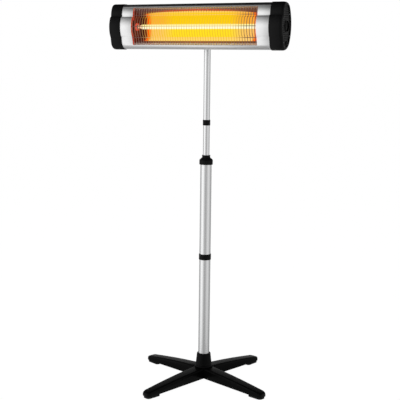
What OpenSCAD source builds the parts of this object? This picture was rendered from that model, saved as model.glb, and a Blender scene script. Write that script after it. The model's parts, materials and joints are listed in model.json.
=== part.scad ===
// Free-standing infrared patio heater: a horizontal lamp head on a telescopic
// pole with a four-legged base.  Origin on the floor under the pole, +Z up,
// the head lies along X and shines towards -Y.

/* [Head] */
// Overall length of the heater head
head_l = 610; // [560:5:700]
// Length of each moulded end cap
cap_w = 43; // [36:1:56]
// Width of the plain metal panel between cap and window
panel_w = 42; // [30:1:60]
// Height of the middle of the head above the floor
head_z = 1200; // [1190:1:1215]
// Distance of the foremost line of the head in front of the pole axis
head_reach = 123.5; // [121:0.5:126]
// Vertical wires across the window
wire_count = 49; // [20:1:60]
// Thickness of one grille wire
wire_d = 1.7; // [1:0.1:2.4]

/* [Lamp] */
// Outer diameter of the quartz tube
lamp_d = 15; // [10:0.5:18]
// Depth of the lamp axis behind the foremost line
lamp_depth = 45; // [40:1:52]

/* [Pole] */
// Outer diameter of the two lower pole tubes
outer_tube_d = 38; // [36:0.5:42]
// Outer diameter of the two sliding upper tubes
inner_tube_d = 22; // [20:0.5:25]
// Wall of the pole tubes
tube_wall = 1.4; // [1:0.1:2]
// Height of the joint between the two lower tubes
lower_joint_z = 434; // [420:1:450]
// Height of the top end of the upper outer tube
outer_top_z = 760; // [750:1:770]
// Height of the joint between the two sliding tubes
upper_joint_z = 889; // [885:1:900]
// Height of the tilt axis
tilt_z = 1165; // [1160:1:1170]

/* [Base] */
// Reach of each leg from the pole axis
leg_reach = 273; // [268:1:300]
// Width of a leg at the hub
leg_w = 44; // [36:1:46]
// Height of a leg's top face at the hub
leg_h = 48; // [42:1:50]
// Turn of the four legs about the pole
leg_turn = 26.5; // [0:0.5:45]

/* [Hidden] */
$fn = 64;
eps = 0.05;
gap = 0.3;

// ---- colours
black_plastic = [0.09, 0.09, 0.09];
black_paint = [0.13, 0.13, 0.14];
satin_metal = [0.78, 0.79, 0.8];
zinc = [0.62, 0.63, 0.64];
ceramic = [0.9, 0.88, 0.82];
glow = [1, 0.8, 0.2];

// ---- head sizes
cap_x = head_l / 2 - cap_w;
window_x = cap_x - panel_w;
front_y = -head_reach;
body_inset = 1.7;
sleeve = 8;
body_x = cap_x + sleeve;
fascia_wall = 2;
cover_wall = 1.2;
split_top = 64.3;
split_bottom = 62;
window_top = 60.5;
window_bottom = -59;
step_top = 33;
step_bottom = -34;

// ---- outline of the head's cross-section: depth behind the foremost line, height about the middle
rear_c = [-24, 3];
rear_r = 115;
rear_a = 28;
top_rear_r = 31.8;
low_rear_r = 43.5;

function arc_points(c, r, a0, a1, n) =
    [for (i = [0:n]) c + r * [cos(a0 + (a1 - a0) * i / n), sin(a0 + (a1 - a0) * i / n)]];

// Centre of a corner circle that touches the rear arc from inside at angle a
function corner_c(r, a) = rear_c + (rear_r - r) * [cos(a), sin(a)];

core_points = concat(
    arc_points([38, -48.6], 25.5, 187.5, 270, 8),
    arc_points(corner_c(low_rear_r, -rear_a), low_rear_r, -90, -rear_a, 7),
    arc_points(rear_c, rear_r, -rear_a, rear_a, 10),
    arc_points(corner_c(top_rear_r, rear_a), top_rear_r, rear_a, 90, 7),
    arc_points([35.3, 56.2], 17.6, 90, 150, 5),
    arc_points([66.9, 38], 54, 151, 180, 6),
    [[12.9, step_top - 5], [8, step_bottom + 4]]
);
bulge_r = 78;
bulge_c = [bulge_r, -1];
bulge_points = concat(
    arc_points(bulge_c, bulge_r, 154.2, 205, 10),
    [[30, step_bottom], [30, step_top]]
);

module core_2d(d) {
    offset(delta = -d) polygon(core_points);
}

module bulge_2d(d) {
    offset(delta = -d) polygon(bulge_points);
}

// Whole outline, shrunk by d
module outline_2d(d) {
    offset(delta = -d) union() {
        polygon(core_points);
        polygon(bulge_points);
    }
}

// Extrudes a cross-section of the head along X, from x0 to x1
module along_head(x0, x1) {
    translate([x0, front_y, head_z]) rotate([90, 0, 90]) linear_extrude(x1 - x0) children();
}

// Cylinder along X from x0 to x1, at depth u and height w of the cross-section
module head_pin(x0, x1, u, w, d) {
    translate([x0, front_y + u, head_z + w]) rotate([0, 90, 0]) cylinder(d = d, h = x1 - x0);
}

// Cylinder along X from x0 to x1 about the tilt axis
module tilt_pin(x0, x1, d, sides = 64) {
    translate([x0, 0, tilt_z]) rotate([0, 90, 0]) cylinder(d = d, h = x1 - x0, $fn = sides);
}

// Cylinder along Y from y0, at place x across and z high
module rear_pin(x, y0, z, d, h, sides = 64) {
    translate([x, y0, z]) rotate([-90, 0, 0]) cylinder(d = d, h = h, $fn = sides);
}

// Copies its children on both ends of the head
module both_ends() {
    children();
    mirror([1, 0, 0]) children();
}

// ---- shell of the head
module front_fascia() color(satin_metal) difference() {
    along_head(-body_x, body_x) intersection() {
        difference() {
            outline_2d(body_inset);
            outline_2d(body_inset + fascia_wall);
        }
        translate([-10, -90]) square([10 + split_bottom, 90 + split_top]);
    }
    translate([-window_x, front_y - 10, head_z + window_bottom])
        cube([2 * window_x, 60, window_top - window_bottom]);
}

vent_slot = [16, 12, 3.2];
vent_pitch = 24;
module rear_cover() color(black_paint) difference() {
    along_head(-body_x, body_x) difference() {
        outline_2d(body_inset);
        outline_2d(body_inset + cover_wall);
        translate([-10, -90]) square([10 + split_bottom + gap, 90 + split_top + gap]);
    }
    // two rows of ventilation slots high and low on the back
    for (a = [17, 21, -22], i = [-8:8]) if (abs(i) > 1 || a > 0)
        translate([i * vent_pitch, front_y + rear_c.x, head_z + rear_c.y])
            rotate([a, 0, 0]) translate([0, rear_r, 0]) cube(vent_slot, center = true);
    for (p = yoke_holes) rear_pin(p.x, -60, p.y, 5, 40);
    low_screw_place() translate([0, 0, -8]) cylinder(d = 3.4, h = 12);
}

// Places its children on the lower rear corner of the cover, with +Z pointing outwards
module low_screw_place() {
    c = corner_c(low_rear_r, -rear_a);
    for (x = [-240, 0, 240]) translate([x, front_y + c.x, head_z + c.y])
        rotate([-45, 0, 0]) translate([0, low_rear_r - body_inset, 0]) rotate([-90, 0, 0]) children();
}

module rear_cover_screws() color(zinc) low_screw_place() {
    translate([0, 0, -9]) cylinder(d = 3, h = 9.2);
    difference() {
        translate([0, 0, 0.1]) cylinder(d = 6.4, h = 1.9);
        translate([-2.4, -0.4, 1.3]) cube([4.8, 0.8, 1]);
    }
}

module heat_shield() color(satin_metal) difference() {
    along_head(-240, 240) intersection() {
        difference() {
            outline_2d(body_inset + 6);
            outline_2d(body_inset + 6.6);
        }
        translate([66, -45]) square([30, 96]);
    }
    for (p = yoke_holes) rear_pin(p.x, -60, p.y, 12, 40);
}

// ---- end caps
round_r = 8;
round_steps = 4;
rim_t = 2.5;
rim_in = 10;
cap_wall = 5;
plate_t = 2.4;

// Place and inset of one step of the rounding, from 0 at its start to 1 at the end face
function round_x(k) = head_l / 2 - round_r * (1 - sin(90 * k));
function round_inset(k) = 0.85 * round_r * (1 - cos(90 * k));

// The cap's outside: two convex parts, each rounded over at the outer edge
module cap_solid() {
    hull() {
        along_head(cap_x, cap_x + 1) core_2d(0);
        for (k = [0:1 / round_steps:1]) along_head(round_x(k) - 0.02, round_x(k)) core_2d(round_inset(k));
    }
    hull() {
        along_head(cap_x + 0.3, cap_x + 1) bulge_2d(0);
        for (k = [0:1 / round_steps:1])
            along_head(round_x(k) - 0.32, round_x(k) - 0.3) bulge_2d(round_inset(k));
    }
}

module end_cap() color(black_plastic) difference() {
    union() {
        difference() {
            cap_solid();
            along_head(cap_x - 1, body_x + gap) outline_2d(body_inset - 0.1);
            along_head(body_x, head_l / 2 - rim_t) outline_2d(cap_wall);
            along_head(body_x, head_l / 2 + 1) outline_2d(rim_in);
        }
        // screw bosses that carry the end plate
        for (s = cap_screw_at) head_pin(plate_x - 14, plate_x - eps, s.x, s.y, 10.4);
    }
    for (s = cap_screw_at) head_pin(plate_x - 12, plate_x + 1, s.x, s.y, 3.7);
}

module end_cap_right() end_cap();
module end_cap_left() mirror([1, 0, 0]) end_cap();

// ---- perforated end plates
plate_x = head_l / 2 - rim_t - plate_t - eps;
hole_w = 3.4;
hole_pitch = 6.4;
knob_at = [52.5, 0];
well_d = 33;
gland_at = [52.5, -51.5];
gland_d = 15;
cap_screw_at = [[24.3, 52], [76, 38], [22, -50], [77, -30]];

function far_from(p, q, r) = norm(p - q) > r;
function open_spot(p) =
    far_from(p, knob_at, well_d / 2 + 6) && far_from(p, gland_at, gland_d / 2 + 5)
    && min([for (s = cap_screw_at) norm(p - s)]) > 7;

module vent_pattern() intersection() {
    outline_2d(rim_in + 2);
    for (i = [0:10], j = [-10:11]) {
        p = [15 + (i + (abs(j) % 2) / 2) * hole_pitch, j * hole_pitch];
        if (open_spot(p)) translate(p) circle(d = hole_w * 1.3, $fn = 4);
    }
}

module vent_plate() difference() {
    along_head(plate_x, plate_x + plate_t) outline_2d(cap_wall + 0.2);
    along_head(plate_x - 1, plate_x + plate_t + 1) vent_pattern();
    for (s = cap_screw_at) head_pin(plate_x - 1, plate_x + 5, s.x, s.y, 4);
}

// The right plate carries the switch well and the cable gland
module vent_plate_right() color(black_plastic) {
    difference() {
        vent_plate();
        head_pin(plate_x - 1, plate_x + 5, knob_at.x, knob_at.y, well_d);
        head_pin(plate_x - 1, plate_x + 5, gland_at.x, gland_at.y, gland_d - 2.6);
    }
    difference() {
        head_pin(plate_x - 12, plate_x + plate_t + 1.6, knob_at.x, knob_at.y, well_d + 4);
        head_pin(plate_x - 10, plate_x + 10, knob_at.x, knob_at.y, well_d);
        head_pin(plate_x - 20, plate_x + 10, knob_at.x, knob_at.y, 9.4);
    }
}

module vent_plate_left() color(black_plastic) mirror([1, 0, 0]) vent_plate();

module cap_screws() color(zinc) both_ends() for (s = cap_screw_at) {
    head_pin(plate_x - 10, plate_x + plate_t + eps, s.x, s.y, 3.6);
    difference() {
        head_pin(plate_x + plate_t + eps, plate_x + plate_t + 1.9, s.x, s.y, 6.6);
        translate([plate_x + plate_t + 1, front_y + s.x - 0.5, head_z + s.y - 2.4]) cube([2, 1, 4.8]);
    }
}

module end_seals() color([0.3, 0.3, 0.32]) both_ends()
    along_head(body_x + 0.02, body_x + gap - 0.02) difference() {
        outline_2d(body_inset);
        outline_2d(cap_wall);
    }

// ---- reflector and lamp
refl_front = 26;
refl_back = 76;
refl_t = 0.8;
refl_x = window_x + 2;
trough_points = concat(
    [[refl_front, window_top - 1.5]],
    arc_points([56, 23], 20, 68, 0, 6),
    arc_points([56, -23], 20, 0, -70, 6),
    [[refl_front, window_bottom + 1.5]]
);

module reflector() color([0.95, 0.75, 0.3]) along_head(-refl_x, refl_x) difference() {
    offset(delta = refl_t) polygon(trough_points);
    polygon(trough_points);
    translate([refl_front - 2, -80]) square([2 + 0.01, 160]);
}

ring_d = 25;
module reflector_end() color([0.85, 0.7, 0.4]) difference() {
    along_head(refl_x + eps, refl_x + eps + 1) offset(delta = refl_t) polygon(trough_points);
    head_pin(refl_x - 1, refl_x + 3, lamp_depth, 0, ring_d - 5);
}
module reflector_end_right() reflector_end();
module reflector_end_left() mirror([1, 0, 0]) reflector_end();

// Turns a profile of radius and distance about the lamp axis
module lamp_turn(points, h = 0) {
    translate([0, front_y + lamp_depth, head_z + h]) rotate([0, 90, 0]) rotate_extrude() polygon(points);
}

lamp_x = refl_x - 8;
module lamp_tube() color([0.95, 0.9, 0.75, 0.6]) lamp_turn([
    [0, -lamp_x], [lamp_d / 2 - 2, -lamp_x], [lamp_d / 2, -lamp_x + 5],
    [lamp_d / 2, lamp_x - 5], [lamp_d / 2 - 2, lamp_x], [0, lamp_x],
    [0, lamp_x - 3], [lamp_d / 2 - 3, lamp_x - 4], [lamp_d / 2 - 1.4, lamp_x - 7],
    [lamp_d / 2 - 1.4, -lamp_x + 7], [lamp_d / 2 - 3, -lamp_x + 4], [0, -lamp_x + 3]
]);

// Carbon heating element: a rod with a raised rib every few centimetres
element_x = lamp_x - 8;
module element_body() {
    head_pin(-element_x, element_x, lamp_depth, 0, 4.4);
    for (x = [-element_x + 10:20:element_x]) head_pin(x - 1, x + 1, lamp_depth, 0, 7);
}
module lamp_element() color(glow) element_body();

module lamp_end_ceramics() color(ceramic) both_ends() lamp_turn([
    [0, lamp_x + eps], [7, lamp_x + eps], [7.5, lamp_x + 1], [7.5, lamp_x + 24],
    [6.5, lamp_x + 26], [0, lamp_x + 26]
]);

module lamp_rings() color([0.8, 0.45, 0.35]) both_ends() lamp_turn([
    [7.7, refl_x - 3], [ring_d / 2 - 0.5, refl_x - 3], [ring_d / 2, refl_x - 2.5], [ring_d / 2, refl_x],
    [ring_d / 2 - 2.6, refl_x], [ring_d / 2 - 2.6, refl_x + 4], [7.7, refl_x + 4]
]);

module lamp_clips() color(zinc) both_ends() {
    lamp_turn([[7.6, refl_x + 8], [9, refl_x + 8], [9, refl_x + 16], [7.6, refl_x + 16]]);
    translate([refl_x + 10, front_y + lamp_depth - 5, head_z - 32]) cube([1.2, 10, 23.6]);
    translate([refl_x + eps + 1.05, front_y + lamp_depth - 5, head_z - 32]) cube([10, 10, 1.2]);
}

// ---- protective grille
// Line that the wires follow, shrunk by d from the head's outline
module wire_path_2d(d) {
    intersection() {
        difference() {
            outline_2d(d);
            outline_2d(d + wire_d);
        }
        translate([0, window_bottom - 4]) square([40, window_top - window_bottom + 7]);
        translate([0, -90]) square([27, 180]);
    }
}

wire_in = body_inset + fascia_wall + 0.1;
module grille_wires() color(zinc) {
    pitch = 2 * window_x / wire_count;
    for (i = [0:wire_count - 1]) {
        x = (i - (wire_count - 1) / 2) * pitch;
        along_head(x - wire_d / 2, x + wire_d / 2) wire_path_2d(wire_in);
    }
}

// Cross rails behind the wires: depth and height of each, clear of the wires' inner side
rail_d = 2;
rail_at = [[20.1, step_top + 3], [wire_in + wire_d + rail_d / 2 + 0.1, 0], [15.8, step_bottom - 1]];
module grille_rails() color(zinc)
    for (p = rail_at) head_pin(-window_x - 6, window_x + 6, p.x, p.y, rail_d);

// Plates at both sides of the window, which the rails pass through
frame_w = 9;
module window_frame() color(black_paint) both_ends() difference() {
    along_head(window_x + 0.2, window_x + 1.4) intersection() {
        difference() {
            outline_2d(body_inset + fascia_wall + eps);
            outline_2d(body_inset + fascia_wall + frame_w);
        }
        translate([0, window_bottom - 3]) square([refl_front - 1, window_top - window_bottom + 6]);
    }
    for (p = rail_at) head_pin(window_x, window_x + 3, p.x, p.y, rail_d + 0.2);
}

// ---- controls and wiring inside the head
switch_size = [21.9, 28, 24];
switch_x = plate_x - 34;
module rotary_switch() color(black_plastic) {
    difference() {
        union() {
            translate([switch_x, front_y + knob_at.x - switch_size.y / 2, head_z - switch_size.z / 2])
                cube(switch_size);
            head_pin(plate_x - 12.2, plate_x - 10.5, knob_at.x, knob_at.y, 9.2);
        }
        head_pin(switch_x + 4, plate_x, knob_at.x, knob_at.y, shaft_d + 0.1);
    }
    // two tags for the leads
    for (z = [-6, 6]) translate([switch_x - 4, front_y + knob_at.x - 3, head_z + z - 0.4])
        cube([4.05, 6.3, 0.8]);
}

// Round knob with a grip bar and a shaft that turns in the switch
knob_d = 27;
shaft_d = 6;
module control_knob() color([0.05, 0.05, 0.05]) {
    difference() {
        head_pin(plate_x - 9.5, plate_x - 1, knob_at.x, knob_at.y, knob_d);
        translate([plate_x - 1.8, front_y + knob_at.x - 0.7, head_z + knob_d / 2 - 5]) cube([3, 1.4, 6]);
    }
    translate([plate_x - 1 - eps, front_y + knob_at.x - 3, head_z - knob_d / 2 + 2])
        cube([3.4, 6, knob_d - 4]);
    head_pin(switch_x + 6, plate_x - 9, knob_at.x, knob_at.y, shaft_d);
}

module terminal_block() color(ceramic) difference() {
    translate([plate_x - 30, front_y + 40, head_z - 44]) cube([16, 30, 14]);
    for (y = [47, 55, 63]) translate([plate_x - 22, front_y + y, head_z - 40]) cylinder(d = 4, h = 20);
}

module tip_over_switch() color([0.2, 0.2, 0.22]) {
    translate([-plate_x + 14, front_y + 40, head_z - 20]) cube([18, 26, 34]);
    translate([-plate_x + 18, front_y + 44, head_z + 14 - eps]) cube([10, 18, 3]);
}

module thermal_cutout() color(ceramic) {
    cutout_y = front_y + refl_back + refl_t + 0.1;
    rear_pin(0, cutout_y, head_z + 8, 16, 4);
    translate([-12, cutout_y, head_z + 5]) cube([24, 0.8, 6]);
}

module cable_gland() color(black_plastic)
    translate([plate_x, front_y + gland_at.x, head_z + gland_at.y]) rotate([0, 90, 0]) difference() {
        union() {
            translate([0, 0, -5]) cylinder(d = 18, h = 4.9, $fn = 6);
            translate([0, 0, -1]) cylinder(d = gland_d - 3, h = 6);
            translate([0, 0, plate_t + eps]) cylinder(d1 = gland_d, d2 = gland_d - 2, h = 2.4);
        }
        translate([0, 0, -6]) cylinder(d = 8.4, h = 14);
    }

// Round wire through a list of points, each straight run reaching a little past the inner corners
module lead(points, d) for (i = [0:len(points) - 2]) {
    v = points[i + 1] - points[i];
    back = i > 0 ? 0.4 * d : 0;
    ahead = i < len(points) - 2 ? 0.4 * d : 0;
    translate(points[i] - back * v / norm(v)) rotate([0, acos(v.z / norm(v)), atan2(v.y, v.x)])
        cylinder(d = d, h = norm(v) + back + ahead);
}

lead_d = 2.4;
lead_z = head_z + 24;
module lamp_leads() color([0.75, 0.2, 0.15]) {
    y_lamp = front_y + lamp_depth;
    y_back = front_y + refl_back + lead_d;
    y_switch = front_y + knob_at.x;
    y_block = front_y + 63;
    // the short lead runs from the lamp's right end to the switch
    lead([
        [lamp_x + 26 + eps, y_lamp, head_z], [lamp_x + 33, y_lamp, head_z],
        [switch_x - 8, y_switch, head_z + 6], [switch_x - 4.1, y_switch, head_z + 6]
    ], lead_d);
    // the long lead runs from the lamp's left end, behind the reflector, to the terminal block
    lead([
        [-lamp_x - 26 - eps, y_lamp, head_z], [-lamp_x - 30, y_lamp, head_z + 6],
        [-lamp_x - 30, y_back, lead_z], [lamp_x + 30, y_back, lead_z],
        [lamp_x + 36, y_back - 12, head_z - 20],
        [plate_x - 33, y_block, head_z - 37], [plate_x - 30.1, y_block, head_z - 37]
    ], lead_d);
}

// ---- tilt bracket
yoke_holes = [for (x = [-27, 27], z = [tilt_z - 13, tilt_z + 23]) [x, z]];
yoke_plate_y = -31;
yoke_t = 2.5;
ear_x = 19;
ear_r = 14;

// Outside of the rear cover at height z
function back_y(z) = front_y + rear_c.x + sqrt(pow(rear_r - body_inset, 2) - pow(z - head_z - rear_c.y, 2));

module yoke_bracket() color(black_paint) difference() {
    union() {
        translate([-34, yoke_plate_y, tilt_z - 20]) cube([68, yoke_t, 50]);
        for (x = [-ear_x - yoke_t, ear_x]) {
            translate([x, yoke_plate_y + 1, tilt_z - ear_r]) cube([yoke_t, -yoke_plate_y - 1, 2 * ear_r]);
            tilt_pin(x, x + yoke_t, 2 * ear_r);
        }
    }
    tilt_pin(-40, 40, bolt_d + 0.1);
    for (p = yoke_holes) rear_pin(p.x, -40, p.y, 5.2, 20);
    translate([-11, yoke_plate_y - 1, tilt_z - 21]) cube([22, yoke_t + 2, 13]);
}

module yoke_spacers() color(zinc) for (p = yoke_holes) {
    y0 = back_y(p.y + 5) + 0.3;
    translate([p.x, y0, p.y]) rotate([-90, 0, 0]) difference() {
        cylinder(d = 10, h = yoke_plate_y - 0.02 - y0);
        translate([0, 0, -1]) cylinder(d = 5.2, h = 30);
    }
}

module yoke_screws() color(zinc) for (p = yoke_holes)
    translate([p.x, yoke_plate_y + yoke_t + 0.02, p.y]) rotate([-90, 0, 0]) {
        difference() {
            cylinder(d = 8.4, h = 2.6);
            translate([0, 0, 1]) cylinder(d = 4.2, h = 3, $fn = 6);
        }
        reach = yoke_plate_y + yoke_t - back_y(p.y) + 7;
        translate([0, 0, -reach]) cylinder(d = 4.8, h = reach + 0.1);
    }

// Nuts fixed to the inside of the rear cover
module yoke_nuts() color(zinc) for (p = yoke_holes) {
    y1 = back_y(p.y - 5) - cover_wall - 0.6;
    translate([p.x, y1, p.y]) rotate([90, 0, 0]) difference() {
        cylinder(d = 9, h = 3.5, $fn = 6);
        translate([0, 0, -1]) cylinder(d = 4.9, h = 6);
    }
}

bolt_d = 8;
bolt_end = 40;
washer_t = 1.6;
yoke_side = ear_x + yoke_t;
module tilt_bolt() color(zinc) {
    tilt_pin(-yoke_side - 1.7, bolt_end, bolt_d);
    tilt_pin(-yoke_side - 7, -yoke_side - 1.7, 14.4, sides = 6);
}

module tilt_washers() color(zinc) difference() {
    for (x = [-yoke_side - eps - washer_t, yoke_side + eps]) tilt_pin(x, x + washer_t, 17);
    tilt_pin(-40, 40, bolt_d + 0.4);
}

knob_x = yoke_side + 2;
lobe_count = 5;
module star_knob() color(black_plastic) translate([knob_x, 0, tilt_z]) rotate([0, 90, 0]) difference() {
    union() {
        cylinder(d = 20, h = 10);
        translate([0, 0, 8]) cylinder(d = 30, h = 13.6);
        for (i = [0:lobe_count - 1])
            rotate(i * 360 / lobe_count) translate([14, 0, 8.5]) cylinder(d = 12.5, h = 12.5);
        translate([0, 0, 21]) cylinder(d1 = 25, d2 = 18, h = 2.5);
    }
    translate([0, 0, -1]) cylinder(d = bolt_d + 0.1, h = 19.5);
}

// ---- mast: the sliding part of the pole
inner_bore = inner_tube_d - 2 * tube_wall;
mast_bottom = 566;
mast_top = tilt_z - 20;

module tube(z0, z1, od, id) translate([0, 0, z0]) difference() {
    cylinder(d = od, h = z1 - z0);
    translate([0, 0, -1]) cylinder(d = id, h = z1 - z0 + 2);
}

module upper_inner_tube() color(satin_metal)
    tube(upper_joint_z + 6, mast_top, inner_tube_d, inner_bore);
module lower_inner_tube() color(satin_metal)
    tube(mast_bottom + 4, upper_joint_z - 6, inner_tube_d, inner_bore);

// Radii of plugs that fit the bores, and of the sliding tube's outside
inner_plug_r = inner_bore / 2 - 0.05;
inner_tube_r = inner_tube_d / 2;
outer_tube_r = outer_tube_d / 2;
outer_bore = outer_tube_d - 2 * tube_wall;
outer_plug_r = outer_bore / 2 - 0.05;

module mast_coupler() color(black_plastic) translate([0, 0, upper_joint_z]) rotate_extrude() polygon([
    [6, -30], [inner_plug_r, -30], [inner_plug_r, -6 + eps], [inner_tube_r + 0.02, -6 + eps],
    [inner_tube_r + 0.02, -9], [12, -9.2], [12.5, -8.6], [12.5, 8.6], [12, 9.2],
    [inner_tube_r + 0.02, 9], [inner_tube_r + 0.02, 6 - eps], [inner_plug_r, 6 - eps],
    [inner_plug_r, 30], [6, 30]
]);

guide_r = outer_bore / 2 - 0.4;
module mast_guide() color(black_plastic) translate([0, 0, mast_bottom]) rotate_extrude() polygon([
    [5, 0], [guide_r - 1, 0], [guide_r, 1.5], [guide_r, 22], [guide_r - 1, 23.5],
    [inner_tube_r + 0.05, 23.5], [inner_tube_r + 0.05, 4 - eps], [inner_plug_r, 4 - eps],
    [inner_plug_r, 22], [5, 22]
]);

// Fitting on top of the mast: plug in the tube, neck and cheek block for the tilt bolt
module pole_head() color(black_plastic) difference() {
    union() {
        translate([0, 0, mast_top - 30]) cylinder(r = inner_plug_r, h = 32);
        translate([0, 0, mast_top + eps]) cylinder(d = 28, h = 8);
        translate([-ear_x + gap, -ear_r + 1, mast_top + 4]) cube([2 * (ear_x - gap), 2 * (ear_r - 1), 16]);
        tilt_pin(-ear_x + gap, ear_x - gap, 2 * (ear_r - 1));
    }
    tilt_pin(-40, 40, bolt_d + 0.15);
    rear_pin(0, -40, mast_top - 15, 3.4, 80);
}

module pole_head_screw() color(zinc) difference() {
    rear_pin(0, inner_tube_r + 0.5, mast_top - 15, 6.4, 2.2);
    translate([-0.5, inner_tube_r + 1.9, mast_top - 17.2]) cube([1, 1, 4.4]);
}

// ---- lower pole
tube_foot_z = 48;
ring_half = 9.75;
module upper_outer_tube() color(satin_metal)
    tube(lower_joint_z + ring_half + eps, outer_top_z, outer_tube_d, outer_bore);
module lower_outer_tube() color(satin_metal)
    tube(tube_foot_z, lower_joint_z - ring_half - eps, outer_tube_d, outer_bore);

spigot_r = 13.5;
module pole_coupler() color(black_plastic) translate([0, 0, lower_joint_z]) rotate_extrude() polygon([
    [spigot_r, -34], [outer_plug_r, -34], [outer_plug_r, -ring_half], [outer_tube_r + 1.1, -ring_half],
    [outer_tube_r + 1.6, 0.75 - ring_half], [outer_tube_r + 1.6, ring_half - 0.75],
    [outer_tube_r + 1.1, ring_half], [outer_plug_r, ring_half], [outer_plug_r, 34], [spigot_r, 34]
]);

// Plastic sleeve fixed in the mouth of the outer tube, with a flange on the rim
insert_z = outer_top_z + eps;
module tube_top_insert() color(black_plastic) rotate_extrude() polygon([
    [14.2, insert_z - 26], [outer_plug_r, insert_z - 26], [outer_plug_r, insert_z],
    [outer_tube_r, insert_z], [outer_tube_r, insert_z + 2.4], [14.2, insert_z + 2.4]
]);

// Collet that turns in the sleeve and lets the mast slide through it
module swivel_collet() color([0.25, 0.25, 0.27]) rotate_extrude() polygon([
    [inner_tube_r + 0.08, insert_z - 24], [14.12, insert_z - 24], [14.12, insert_z + 2.7],
    [15.5, insert_z + 2.7], [15.5, insert_z + 4], [12.4, insert_z + 10.5],
    [inner_tube_r + 0.08, insert_z + 11]
]);

// Twist collar that squeezes the collet onto the mast
collar_z = 749;
flute_count = 24;
module lock_collar() color(black_plastic) difference() {
    translate([0, 0, collar_z]) rotate_extrude() polygon([
        [outer_tube_r + 0.08, 0], [22, 0], [22.6, 0.8], [22.6, 15.2], [21.8, 16.4],
        [14.3, 23.4], [13.6, 24.4], [13.6, 28.4], [14.2, 29.4], [14.2, 30.9], [13.7, 31.4],
        [inner_tube_r + 0.4, 31.4], [inner_tube_r + 0.4, 25], [17, 16],
        [outer_tube_r + 0.5, 15], [outer_tube_r + 0.5, 8], [outer_tube_r + 0.08, 8]
    ]);
    // grip flutes round the wide part
    for (i = [0:flute_count - 1]) rotate(i * 360 / flute_count)
        translate([23.4, 0, collar_z + 2]) cylinder(d = 2.4, h = 11.5, $fn = 16);
}

// ---- base
core_w = leg_w + 1;
leg_low = 11.5;
hub_top = 95;
foot_h = 7.5;
foot_r0 = 217;
screw_z = 21;
skirt_z = leg_h - 0.6;
leg_screw_d = 3.9;
plug_d = 30;

function leg_angle(i) = 45 + 90 * i + leg_turn;

module hub() color(black_plastic) difference() {
    union() {
        rotate_extrude() polygon([
            [0, skirt_z], [29.8, skirt_z], [30.8, skirt_z + 1], [30.8, leg_h + 2], [29.8, leg_h + 4.5],
            [27.8, leg_h + 8], [27, leg_h + 13], [23.8, hub_top - 5], [23.5, hub_top - 1.5],
            [22.5, hub_top], [0, hub_top]
        ]);
        rotate(leg_angle(0)) translate([-core_w / 2, -core_w / 2, leg_low])
            cube([core_w, core_w, leg_h - leg_low]);
    }
    translate([0, 0, tube_foot_z - 0.1]) cylinder(d = outer_tube_d + 0.1, h = 60);
    translate([0, 0, tube_foot_z - 8]) cylinder(d = plug_d + 0.1, h = 8);
    cylinder(d = bolt_d + 0.2, h = 60);
    translate([0, 0, leg_low - 1]) cylinder(d = 26.2, h = 9);
    for (i = [0:3]) rotate(leg_angle(i)) translate([10, 0, screw_z]) rotate([0, 90, 0])
        cylinder(d = leg_screw_d + 0.1, h = 20);
}

// Plug in the foot of the lower tube that the hub bolt pulls on
module hub_plug() color(zinc) difference() {
    union() {
        translate([0, 0, tube_foot_z - 8 + eps]) cylinder(d = plug_d, h = 8);
        translate([0, 0, tube_foot_z]) cylinder(r = outer_plug_r, h = 22);
    }
    translate([0, 0, 30]) cylinder(d = bolt_d + 0.1, h = 32);
}

module hub_bolt() color(zinc) {
    difference() {
        union() {
            translate([0, 0, leg_low + 2]) cylinder(d = 15, h = 4.2, $fn = 6);
            translate([0, 0, leg_low + 6.25]) cylinder(d = 25, h = 1.7);
        }
        translate([0, 0, leg_low]) cylinder(d = 4, h = 3);
    }
    translate([0, 0, leg_low + 5]) cylinder(d = bolt_d, h = 44);
}

// Cross-section of a leg: flat underside, rounded upper edges
module leg_section(r, half_w, z0, z1) {
    edge = min(6, half_w / 2);
    translate([r, 0, 0]) rotate([90, 0, 90]) linear_extrude(0.02) polygon(concat(
        [[-half_w, z0], [half_w, z0]],
        arc_points([half_w - edge, z1 - edge], edge, 0, 90, 5),
        arc_points([edge - half_w, z1 - edge], edge, 90, 180, 5)
    ));
}

tip_h = 22.5;
function leg_top(r) = leg_h - 0.5 - (leg_h - tip_h) * pow(r / leg_reach, 1.5);
function leg_half(r) = leg_w / 2 - 5 * r / leg_reach;

module leg(i) color(black_plastic) rotate(leg_angle(i)) difference() {
    hull() {
        leg_section(core_w / 2 + 0.05, leg_w / 2, leg_low, leg_top(core_w / 2));
        for (r = [60:50:210]) leg_section(r, leg_half(r), leg_low - 4 * r / foot_r0, leg_top(r));
        leg_section(foot_r0, leg_half(foot_r0), foot_h, leg_top(foot_r0));
        leg_section(260, leg_half(260), foot_h, leg_top(260));
        // rounded tip
        for (t = [0, 30, 60, 80]) leg_section(
            leg_reach - 12 * (1 - sin(t)) - 0.02, leg_half(leg_reach) - 8 * (1 - cos(t)),
            foot_h, leg_top(leg_reach) - 4 * (1 - cos(t))
        );
    }
    // hollow underside with the outer walls left standing
    translate([40, -leg_w / 2 + 8, 0]) cube([60, leg_w - 16, 27]);
    translate([104, -leg_w / 2 + 9, 0]) cube([100, leg_w - 18, 18]);
    translate([20, 0, screw_z]) rotate([0, 90, 0]) cylinder(d = 4.2, h = 24);
}

module leg_rear_right() leg(0);
module leg_rear_left() leg(1);
module leg_front_left() leg(2);
module leg_front_right() leg(3);

module foot(i) color([0.06, 0.06, 0.06]) rotate(leg_angle(i)) difference() {
    hull() {
        for (s = [-1, 1]) {
            translate([foot_r0 + 9, s * 8, 0]) cylinder(r = 8, h = foot_h - 0.02, $fn = 32);
            translate([leg_reach - 12, s * 4.5, 0]) cylinder(r = 10, h = foot_h - 0.02, $fn = 32);
        }
    }
    translate([(foot_r0 + leg_reach) / 2, 0, -1]) cylinder(d = 9, h = 5);
}

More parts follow.
